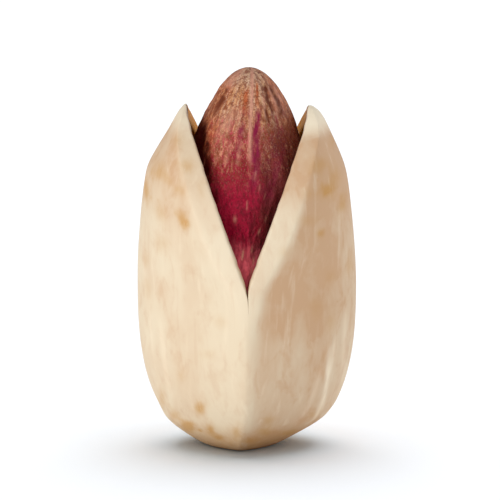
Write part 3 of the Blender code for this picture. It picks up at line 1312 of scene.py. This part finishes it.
@dataclass(frozen=True)
class KernelFinish:
    """Thin seed skin: tan and crusty at the tip, streaked magenta below it, crimson lower down, with painted
    shadow of the left valve on its left and painted shade towards its right.
    """

    roughness: float = 0.55
    specular: float = 0.15
    low_layers: tuple[Layer, ...] = (
        tinted(Guide.FLECKS, 0.48, 0.66, 0.60, Tint.MAROON),
        tinted(Guide.CRUMBS, 0.48, 0.32, 0.30, Tint.MAGENTA),
        tinted(Guide.CRUMBS, 0.48, 0.66, 0.42, Tint.MAROON),
        tinted(Guide.PORES, 0.60, 0.78, 0.08, Tint.FLESH),
        # paler pink low down, deep in the gap: the skin's own pink, lightened as painted light against the
        # shade there
        tinted(Guide.ROUGH_LEVEL, 13.0, 11.0, 0.85, Tint.PINK),
    )
    middle_layers: tuple[Layer, ...] = (
        tinted(Guide.BLOTS, 0.40, 0.62, 1.00, Tint.FLESH),
        tinted(Guide.CRUMBS, 0.46, 0.66, 0.60, Tint.UMBER),
        tinted(Guide.FIBRES, 0.48, 0.34, 0.50, Tint.MAGENTA),
        tinted(Guide.PORES, 0.52, 0.70, 0.50, Tint.FLESH),
    )
    high_layers: tuple[Layer, ...] = (
        tinted(Guide.PATCHES, 0.56, 0.36, 0.60, Tint.ASHEN),
        tinted(Guide.VEINS, 0.52, 0.64, 0.70, Tint.RUST),
        tinted(Guide.FIBRES, 0.54, 0.68, 0.40, Tint.RUST),
        tinted(Guide.CRUMBS, 0.46, 0.68, 0.55, Tint.UMBER),
        tinted(Guide.BLOTS, 0.56, 0.70, 0.50, Tint.UMBER),
        tinted(Guide.PORES, 0.54, 0.72, 0.45, Tint.ASHEN),
        tinted(Guide.LEVEL, 20.9, 21.8, 0.45, Tint.ASHEN),
    )
    side_layers: tuple[Layer, ...] = (tinted(Guide.SIDES, 0.60, 0.95, 0.55, Tint.RUST),)
    crust_layers: tuple[Layer, ...] = (
        tinted(Guide.GRAIN, 0.50, 0.66, 0.55, Tint.UMBER),
        tinted(Guide.FLECKS, 0.50, 0.64, 0.45, Tint.UMBER),
    )
    speck_layers: tuple[Layer, ...] = (
        tinted(Guide.SPECKLE, 0.47, 0.60, 0.80, Tint.UMBER),
        tinted(Guide.SPECKLE, 0.46, 0.36, 0.34, Tint.TAN),
        tinted(Guide.CRUMBS, 0.46, 0.66, 0.30, Tint.UMBER),
        tinted(Guide.PORES, 0.56, 0.74, 0.20, Tint.ASHEN),
    )
    border_unevenness: tuple[tuple[Guide, float], ...] = (
        (Guide.VEINS, 3.0), (Guide.PATCHES, 3.0), (Guide.BLOTS, 3.5), (Guide.FLECKS, 2.0),
    )
    crimson_to_middle: tuple[float, float] = (16.8, 18.0)
    middle_to_tan: tuple[float, float] = (18.2, 19.8)
    crust_rise: tuple[float, float] = (15.0, 18.0)
    level_unevenness: float = 2.5
    sides_unevenness: float = 0.9
    # crimson turns maroon towards the right: the skin's darker tone, deepened as painted shade away from the
    # key light
    maroon_and_shade_window: tuple[float, float] = (-0.1, 0.5)
    maroon_and_shade_unevenness: float = 1.6
    # russet towards the right: the skin's browner tone, deepened as painted shade on the side away from the
    # key light
    right_shade_window: tuple[float, float] = (0.05, 0.55)
    right_shade_unevenness: float = 0.6
    right_shade_share: float = 0.85
    right_shade_fade: tuple[float, float] = (20.4, 18.0)
    # where the painted shadow of the left valve falls on the kernel
    shade_window: tuple[float, float] = (0.06, -0.12)
    shade_unevenness: float = 0.3
    shade_slope: float = 0.11
    shade_offset: float = -1.25
    shade_top: tuple[float, float] = (20.0, 18.6)
    shade_bottom: tuple[float, float] = (14.2, 15.6)
    rib_rise: tuple[float, float] = (16.6, 18.4)
    rib_least: float = 0.45
    rib_unevenness: float = 0.8
    bumps: tuple[tuple[Guide, float, float], ...] = (
        (Guide.FIBRES, 0.04, 0.6), (Guide.FLECKS, 0.09, 0.9), (Guide.CRUMBS, 0.05, 0.8),
    )

    def guides(self, bench: NodeBench) -> dict[Enum, Socket]:
        """Every number that a layer follows.

        Args:
            bench: the material's bench.

        Returns:
            The output of each guide.
        """
        found = {guide: bench.noise(guide.value) for guide in Guide if isinstance(guide.value, Pattern)}
        level = bench.level()
        blots = found[Guide.BLOTS]
        away = bench.math("ABSOLUTE", bench.attribute("round_x"))
        away = bench.math("ADD", away, bench.spread(blots, self.sides_unevenness))
        found[Guide.LEVEL] = level
        found[Guide.ROUGH_LEVEL] = bench.math("ADD", level, bench.spread(blots, self.level_unevenness))
        found[Guide.SIDES] = bench.product(away, bench.window(level, *self.crust_rise))
        return found

    def side(self, bench: NodeBench, noise: Socket, amount: float) -> Socket:
        """How far right a place is, from -1 to 1, made uneven by this much of a noise."""
        return bench.math("ADD", bench.attribute("round_x"), bench.spread(noise, amount))

    def zones(self, bench: NodeBench, found: dict[Enum, Socket]) -> Socket:
        """The skin's three zones, crimson, magenta and tan, which meet along uneven borders.

        Args:
            bench: the material's bench.
            found: the output of each guide.

        Returns:
            The colour's output.
        """
        # crimson turns maroon towards the right: darker skin, plus painted shade on the side away from the
        # key light
        side = self.side(bench, found[Guide.PATCHES], self.maroon_and_shade_unevenness)
        low = bench.mix(bench.window(side, *self.maroon_and_shade_window), Tint.CRIMSON.value, Tint.MAROON.value)
        low = bench.laid(low, self.low_layers, found)
        middle = bench.laid(Tint.MAGENTA.value, self.middle_layers, found)
        high = bench.laid(Tint.TAN.value, self.high_layers, found)
        level = found[Guide.LEVEL]
        for guide, amount in self.border_unevenness:
            level = bench.math("ADD", level, bench.spread(found[guide], amount))
        colour = bench.mix(bench.window(level, *self.crimson_to_middle), low, middle)
        return bench.mix(bench.window(level, *self.middle_to_tan), colour, high)

    def shaded(self, bench: NodeBench, found: dict[Enum, Socket]) -> Socket:
        """Share of the painted shadow that the left valve casts on the kernel's left: beyond a slanting line,
        between two heights.

        Args:
            bench: the material's bench.
            found: the output of each guide.

        Returns:
            The share's output.
        """
        level = found[Guide.LEVEL]
        side = self.side(bench, found[Guide.BLOTS], self.shade_unevenness)
        line = bench.math("ADD", bench.math("MULTIPLY_ADD", level, self.shade_slope, self.shade_offset), side)
        ends = (bench.window(level, *self.shade_top), bench.window(level, *self.shade_bottom))
        return bench.product(bench.window(line, *self.shade_window), *ends)

    def make(self) -> bpy.types.Material:
        """Build the material: the zones, then the crust, the marks and the rib laid over them in order.

        Returns:
            The kernel's material.
        """
        bench = NodeBench("kernel_finish", self.roughness, self.specular)
        found = self.guides(bench)
        level = found[Guide.LEVEL]
        above = bench.window(level, *self.crust_rise)
        colour = bench.laid(self.zones(bench, found), self.side_layers, found)
        colour = bench.laid(colour, self.crust_layers, found, above)
        # russet towards the right, fading out high up: painted shade on the side away from the key light,
        # over the skin's browner tone
        side = self.side(bench, found[Guide.BLOTS], self.right_shade_unevenness)
        fade = bench.window(level, *self.right_shade_fade)
        right = bench.product(bench.window(side, *self.right_shade_window), self.right_shade_share, fade)
        colour = bench.mix(right, colour, Tint.RUSSET_AND_SHADE.value)
        colour = bench.marked(colour, Mark.RUST.value, Tint.RUST.value)
        colour = bench.laid(colour, self.speck_layers, found, above)
        # painted shadow of the left valve on the kernel's left side
        colour = bench.mix(self.shaded(bench, found), colour, Tint.SHADE.value)
        colour = bench.marked(colour, Mark.PURPLE.value, Tint.PURPLE.value)
        broken = bench.math("MULTIPLY_ADD", found[Guide.FIBRES], self.rib_unevenness, self.rib_least)
        rib = bench.product(bench.attribute("rib"), bench.window(level, *self.rib_rise), broken)
        colour = bench.mix(rib, colour, Tint.PALE.value)
        # pale flecks, with painted highlights on raised folds and a painted glint
        colour = bench.marked(colour, Mark.PALE.value, Tint.PALE.value)
        # brown creases with painted shade in their grooves
        colour = bench.marked(colour, Mark.DARK.value, Tint.DARK.value)
        bench.join(colour, bench.inputs["Base Color"])
        normal = None
        for guide, height, strength in self.bumps:
            normal = bench.bump(found[guide], height, strength, normal)
        bench.join(normal, bench.inputs["Normal"])
        return bench.material


@dataclass(frozen=True)
class Lamp:
    """A square soft light, placed by azimuth and elevation round the nut and aimed at its middle."""

    name: str
    azimuth: float
    elevation: float
    distance: float
    size: float
    power: float
    colour: tuple[float, float, float]

    def build(self, target: Vector, lit: Sequence[Piece]) -> Piece:
        """Place the light.

        Args:
            target: the point that it is aimed at.
            lit: the objects that it lights.

        Returns:
            The light's object.
        """
        data = bpy.data.lights.new(self.name, "AREA")
        data.size = self.size
        data.energy = self.power
        data.color = self.colour
        thing = bpy.data.objects.new(self.name, data)
        turn, lift = math.radians(self.azimuth), math.radians(self.elevation)
        away = Vector((math.sin(turn) * math.cos(lift), -math.cos(turn) * math.cos(lift), math.sin(lift)))
        thing.location = target + away * self.distance
        thing.rotation_mode = "QUATERNION"
        thing.rotation_quaternion = away.to_track_quat("Z", "Y")
        bpy.context.scene.collection.objects.link(thing)
        group = bpy.data.collections.new(self.name + "_lights")
        for piece in lit:
            group.objects.link(piece)
        thing.light_linking.receiver_collection = group
        return thing


@dataclass
class Studio:
    """White floor with a lamp of its own, quiet surroundings, and four soft lamps on the nut."""

    floor_half: float = 1.5
    floor_colour: Colour = (0.812, 0.84, 0.876, 1.0)
    # bluer near the nut, where it shows only in shadow: painted to cancel the warm light that the nut throws
    # on the floor
    near_colour: Colour = (0.78, 0.90, 1.0, 1.0)
    near_to_far: tuple[float, float] = (6.5, 3.0)
    bounce_grey: float = 0.93
    surroundings: float = 0.42
    aim_height: float = 11.0 * MM
    nut_lamps: Sequence[Lamp] = (
        Lamp("key_light", -50.0, 20.0, 0.5, 0.08, 0.92, (1.0, 0.99, 0.97)),
        Lamp("fill_light", 10.0, 4.0, 0.5, 0.50, 0.27, (1.0, 0.99, 0.97)),
        Lamp("top_light", -15.0, 60.0, 0.5, 0.30, 0.58, (1.0, 0.99, 0.97)),
        Lamp("far_right_light", 128.0, 20.0, 0.5, 0.30, 0.60, (1.0, 0.97, 0.94)),
    )
    floor_lamp: Lamp = Lamp("floor_light", 172.0, 75.0, 0.8, 0.95, 8.35, (1.0, 1.0, 1.0))

    def build(self, pieces: Sequence[Piece]) -> None:
        """Make the floor, the surroundings and the lamps.

        Args:
            pieces: the nut's own objects.
        """
        floor = self.floor()
        self.surround()
        middle = Vector((0.0, 0.0, self.aim_height))
        for lamp in self.nut_lamps:
            lamp.build(middle, pieces)
        self.floor_lamp.build(middle, [floor])

    def floor(self) -> Piece:
        """White floor, a little bluer close to the nut; light that it throws back is an even grey.

        Returns:
            The floor's object.
        """
        data = bpy.data.meshes.new("floor")
        half = self.floor_half
        ring = [(-half, -half, 0.0), (half, -half, 0.0), (half, half, 0.0), (-half, half, 0.0)]
        data.from_pydata(ring, [], [(0, 1, 2, 3)])
        floor = bpy.data.objects.new("floor", data)
        bpy.context.scene.collection.objects.link(floor)
        bench = NodeBench("floor_finish", 1.0, 0.0)
        away = bench.add("ShaderNodeVectorMath", operation="LENGTH")
        bench.join(bench.place((1.0 / MM,) * 3), away.inputs[0])
        near = bench.window(away.outputs["Value"], *self.near_to_far)
        # bluer near the nut: painted to cancel the warm light bounced from the nut into the floor's shadow
        shown = bench.mix(near, self.floor_colour, self.near_colour)
        seen = bench.add("ShaderNodeLightPath").outputs["Is Camera Ray"]
        bench.join(bench.mix(seen, (self.bounce_grey,) * 3 + (1.0,), shown), bench.inputs["Base Color"])
        data.materials.append(bench.material)
        return floor

    def surround(self) -> None:
        """Even pale surroundings, which show as plain white behind the nut."""
        world = bpy.data.worlds.new("surroundings")
        world.use_nodes = True
        nodes, links = world.node_tree.nodes, world.node_tree.links
        glow = nodes["Background"]
        glow.inputs["Color"].default_value = (1.0, 1.0, 1.0, 1.0)
        glow.inputs["Strength"].default_value = self.surroundings
        white = nodes.new("ShaderNodeBackground")
        white.inputs["Strength"].default_value = 1.0
        white.inputs["Color"].default_value = (1.0, 1.0, 1.0, 1.0)
        blend = nodes.new("ShaderNodeMixShader")
        links.new(nodes.new("ShaderNodeLightPath").outputs["Is Camera Ray"], blend.inputs["Fac"])
        links.new(glow.outputs[0], blend.inputs[1])
        links.new(white.outputs[0], blend.inputs[2])
        links.new(blend.outputs[0], nodes["World Output"].inputs["Surface"])
        bpy.context.scene.world = world


@dataclass
class PhotoCamera:
    """The photograph's view: straight on, a little from above, with a long lens."""

    elevation: float = 10.0
    distance: float = 0.30
    centre: tuple[float, float, float] = (0.18 * MM, 0.0, 11.4 * MM)
    clip: tuple[float, float] = (0.01, 20.0)

    def build(self) -> Piece:
        """Place the camera so that one pixel covers the known length at the nut.

        Returns:
            The camera's object.
        """
        data = bpy.data.cameras.new("photo_camera")
        data.sensor_width = SENSOR_MM
        data.lens = SENSOR_MM * self.distance / (PHOTO_PIXELS * PIXEL)
        data.clip_start, data.clip_end = self.clip
        camera = bpy.data.objects.new("photo_camera", data)
        lift = math.radians(self.elevation)
        away = Vector((0.0, -math.cos(lift), math.sin(lift)))
        camera.location = Vector(self.centre) + away * self.distance
        camera.rotation_mode = "QUATERNION"
        camera.rotation_quaternion = away.to_track_quat("Z", "Y")
        bpy.context.scene.collection.objects.link(camera)
        bpy.context.scene.camera = camera
        return camera


SHELL_STAINS = tuple(Stain(*row) for row in (
    (-4.9, 16.5, 0.32, 0.55, 0.45), (-5.3, 16.3, 0.25, 0.35, 0.30), (-4.5, 16.1, 0.20, 0.30, 0.35),
    (-3.9, 18.4, 0.35, 0.45, 0.35), (-3.4, 17.0, 0.40, 0.40, 0.50), (-3.8, 15.7, 0.35, 0.35, 0.35),
    (-5.8, 15.1, 0.20, 0.60, 0.80), (-2.6, 15.7, 0.20, 0.45, 0.30), (-3.7, 14.2, 0.32, 0.35, 0.55),
    (-3.5, 13.8, 0.28, 0.28, 0.75), (-4.9, 14.2, 0.30, 0.40, 0.35), (-4.8, 12.4, 0.35, 0.40, 0.25),
    (-5.8, 11.2, 0.20, 0.40, 0.25), (-2.7, 2.8, 0.28, 0.42, 0.85), (-3.4, 1.5, 0.42, 0.35, 0.95),
    (-2.1, 1.5, 0.24, 0.40, 0.75), (-0.6, 1.6, 0.28, 0.50, 0.45), (-1.5, 8.2, 0.35, 0.35, 0.22),
    (-2.2, 6.2, 0.35, 0.28, 0.20), (-3.8, 4.7, 0.22, 0.45, 0.25), (-5.7, 9.4, 0.20, 0.55, 0.25),
    (4.1, 17.0, 0.55, 0.40, 0.50), (5.0, 16.1, 0.35, 0.55, 0.55), (4.6, 15.5, 0.38, 0.32, 0.90),
    (5.5, 14.5, 0.22, 0.55, 0.60), (3.5, 15.5, 0.35, 0.35, 0.30), (4.2, 13.1, 0.20, 0.20, 0.75),
    (3.4, 14.0, 0.50, 0.30, 0.25), (4.9, 18.0, 0.22, 0.35, 0.35), (2.1, 12.3, 0.35, 0.40, 0.25),
    (4.8, 10.4, 0.28, 0.35, 0.22), (5.9, 10.8, 0.18, 0.55, 0.30), (4.0, 8.7, 0.40, 0.55, 0.25),
    (4.8, 7.7, 0.25, 0.60, 0.25), (1.2, 2.2, 0.35, 0.35, 0.45), (1.1, 1.4, 0.45, 0.28, 0.50),
    (-1.6, 1.0, 0.30, 0.22, 0.60), (-4.9, 2.9, 0.20, 0.80, 0.45), (2.4, 1.1, 0.45, 0.25, 0.50),
    (3.9, 2.1, 0.35, 0.30, 0.40), (-4.2, 2.0, 0.30, 0.40, 0.50), (0.2, 0.9, 0.50, 0.20, 0.35),
    (-2.5, 14.0, 0.40, 0.60, 0.60, False), (3.8, 12.0, 0.30, 0.40, 0.70, False),
    (-4.4, 7.5, 0.35, 0.50, 0.40, False), (2.2, 3.2, 0.50, 0.35, 0.80, False),
    (4.6, 16.4, 0.40, 0.50, 0.50, False), (-1.2, 2.0, 0.40, 0.30, 0.60, False),
))

# painted highlights along fine ridges low on the right valve
SHELL_HIGHLIGHT_STREAKS = tuple(HighlightStreak(*row) for row in (
    (3.5, 1.6, 5.1, 6.9, 0.45, 0.13, 0.45), (4.3, 2.2, 4.75, 6.8, 0.50, 0.10, 0.40),
    (2.9, 2.0, 4.3, 5.2, 0.55, 0.13, 0.30), (5.5, 4.5, 5.7, 8.5, 0.60, 0.12, 0.30),
    (-4.4, 3.5, -5.0, 8.0, 0.60, 0.12, 0.25),
))

KERNEL_STROKES = tuple(Stroke(mark, *row) for mark, rows in {
    Mark.RUST: (
        (-0.17, 19.9, -0.14, 20.8, 0.16, 0.95), (0.50, 20.3, 0.46, 21.3, 0.08, 0.90, 0.03),
        (-2.10, 18.6, -2.60, 17.4, 0.40, 0.60), (-1.20, 21.0, -1.90, 19.9, 0.14, 0.60),
        (1.30, 21.3, 2.10, 20.0, 0.16, 0.70),
    ),
    # DARK strokes: brown creases, darkened further as painted shade in the grooves
    Mark.DARK: (
        (-1.34, 20.85, -1.48, 20.50, 0.08, 1.00, 0.03), (-1.56, 20.30, -1.80, 19.85, 0.12, 1.15, 0.04),
        (-1.95, 20.4, -2.20, 19.8, 0.08, 0.50, 0.03), (-0.95, 20.3, -1.05, 19.9, 0.06, 0.45, 0.02),
        (0.98, 21.0, 1.10, 20.5, 0.11, 0.95, 0.03), (1.10, 20.5, 1.40, 19.9, 0.10, 1.00, 0.04),
        (1.30, 20.95, 1.66, 20.3, 0.09, 0.95, 0.04), (1.66, 20.3, 1.90, 19.7, 0.09, 0.85, 0.03),
        (1.62, 21.1, 2.06, 20.4, 0.08, 0.85, 0.03), (2.06, 20.4, 2.30, 19.8, 0.07, 0.50, 0.03),
        (1.02, 19.9, 1.24, 19.3, 0.09, 0.85, 0.05), (0.72, 21.35, 0.80, 21.0, 0.06, 0.45, 0.02),
    ),
    # pale flecks of skin, painted highlights on the raised folds beside the creases (those with negative
    # depth), and one thin painted glint at 14.6 to 15 mm
    Mark.PALE: (
        (1.17, 20.95, 1.50, 20.3, 0.07, 0.60, -0.05), (1.48, 21.0, 1.84, 20.35, 0.06, 0.60, -0.05),
        (1.52, 20.2, 1.70, 19.7, 0.07, 0.50, -0.04), (0.86, 20.5, 1.00, 19.7, 0.09, 0.55, -0.03),
        (-0.55, 21.9, -1.00, 21.4, 0.22, 0.45), (-0.95, 19.6, -1.35, 18.9, 0.35, 0.35),
        (-0.68, 13.95, -0.68, 13.92, 0.09, 0.50), (0.01, 14.6, 0.01, 15.0, 0.035, 0.45),
        (-0.28, 11.8, -0.22, 12.1, 0.06, 0.50), (-0.50, 17.2, -0.35, 18.0, 0.10, 0.25),
        (-1.15, 17.2, -0.95, 18.2, 0.10, 0.20), (0.68, 13.2, 0.72, 13.3, 0.06, 0.45),
        (-0.25, 11.7, -0.20, 12.1, 0.05, 0.45), (0.26, 12.1, 0.28, 12.3, 0.05, 0.40),
        (0.35, 11.4, 0.40, 11.7, 0.06, 0.50), (0.22, 10.8, 0.28, 11.1, 0.07, 0.45),
        (1.09, 13.9, 1.12, 14.0, 0.06, 0.30), (0.68, 15.7, 0.72, 15.9, 0.05, 0.30),
        (1.00, 15.2, 1.04, 15.4, 0.05, 0.30), (0.45, 16.3, 0.50, 16.6, 0.06, 0.30),
    ),
    Mark.PURPLE: (
        (-0.32, 19.0, -0.16, 19.9, 0.14, 0.50), (-0.60, 17.6, -0.36, 18.7, 0.22, 0.30),
        (0.50, 18.9, 0.56, 19.7, 0.18, 0.80), (0.50, 17.6, 0.50, 18.7, 0.27, 0.75),
        (0.42, 16.2, 0.50, 17.4, 0.26, 0.55), (1.30, 15.6, 1.90, 17.4, 0.45, 0.40),
    ),
}.items() for row in rows)


def dress(piece: Piece, material: bpy.types.Material, node: str, slot: str) -> None:
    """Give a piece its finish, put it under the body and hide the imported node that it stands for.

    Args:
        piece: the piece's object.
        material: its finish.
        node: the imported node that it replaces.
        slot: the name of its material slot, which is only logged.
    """
    piece.data.materials.append(material)
    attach(piece, BODY)
    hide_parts(node)
    LOG.info("%s dressed as %s", piece.name, slot)


def corners(box: tuple[Vector, Vector]) -> list[list[float]]:
    """Lowest and highest corner as plain lists."""
    return [list(box[0]), list(box[1])]


def main() -> None:
    """Build the nut, the studio and the camera."""
    logging.basicConfig(level=logging.INFO, format="%(message)s")
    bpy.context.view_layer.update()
    bpy.context.scene.view_settings.view_transform = "Standard"
    shell = Shell(marks=ShellMarks(SHELL_STAINS, SHELL_HIGHLIGHT_STREAKS)).build()
    dress(shell, ShellFinish().make(), "shell", "shell")
    kernel = Kernel(strokes=KERNEL_STROKES).build()
    dress(kernel, KernelFinish().make(), "kernel", "kernel_skin")
    Studio().build((shell, kernel))
    PhotoCamera().build()


if __name__ == "__main__":
    main()
